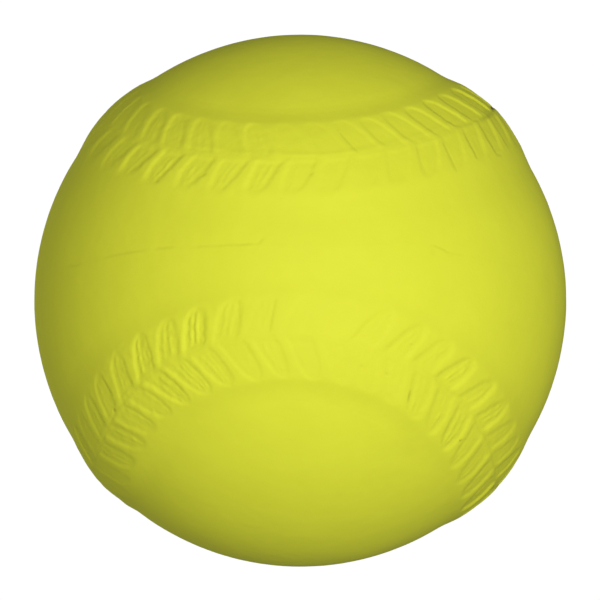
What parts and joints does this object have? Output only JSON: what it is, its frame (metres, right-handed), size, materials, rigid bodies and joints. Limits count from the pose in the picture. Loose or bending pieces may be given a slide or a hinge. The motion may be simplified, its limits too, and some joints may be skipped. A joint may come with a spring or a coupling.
{
  "type": "foam baseball",
  "caption": "Soft foam practice ball with a yellow moulded skin: figure-eight panels parted by a raised seam band with moulded stitches, for throwing, catching and batting.",
  "frame": {"origin": "centre of the ball", "axes": "+Z out through the middle of the top panel's waist, +X along that panel, and the mould's parting plane at y = 0"},
  "size_m": [0.073, 0.073, 0.073],
  "materials": {
    "panel_skin": "satin moulded polyurethane skin",
    "seam_skin": "satin moulded polyurethane skin",
    "foam": "matt closed-cell polyurethane foam"
  },
  "bodies": {
    "root": {"foam_core": "foam", "top_panel_front_half": "panel_skin", "top_panel_rear_half": "panel_skin", "bottom_panel_front_lobe": "panel_skin", "bottom_panel_rear_lobe": "panel_skin", "front_seam_band": "seam_skin", "rear_seam_band": "seam_skin"}
  },
  "joints": []
}
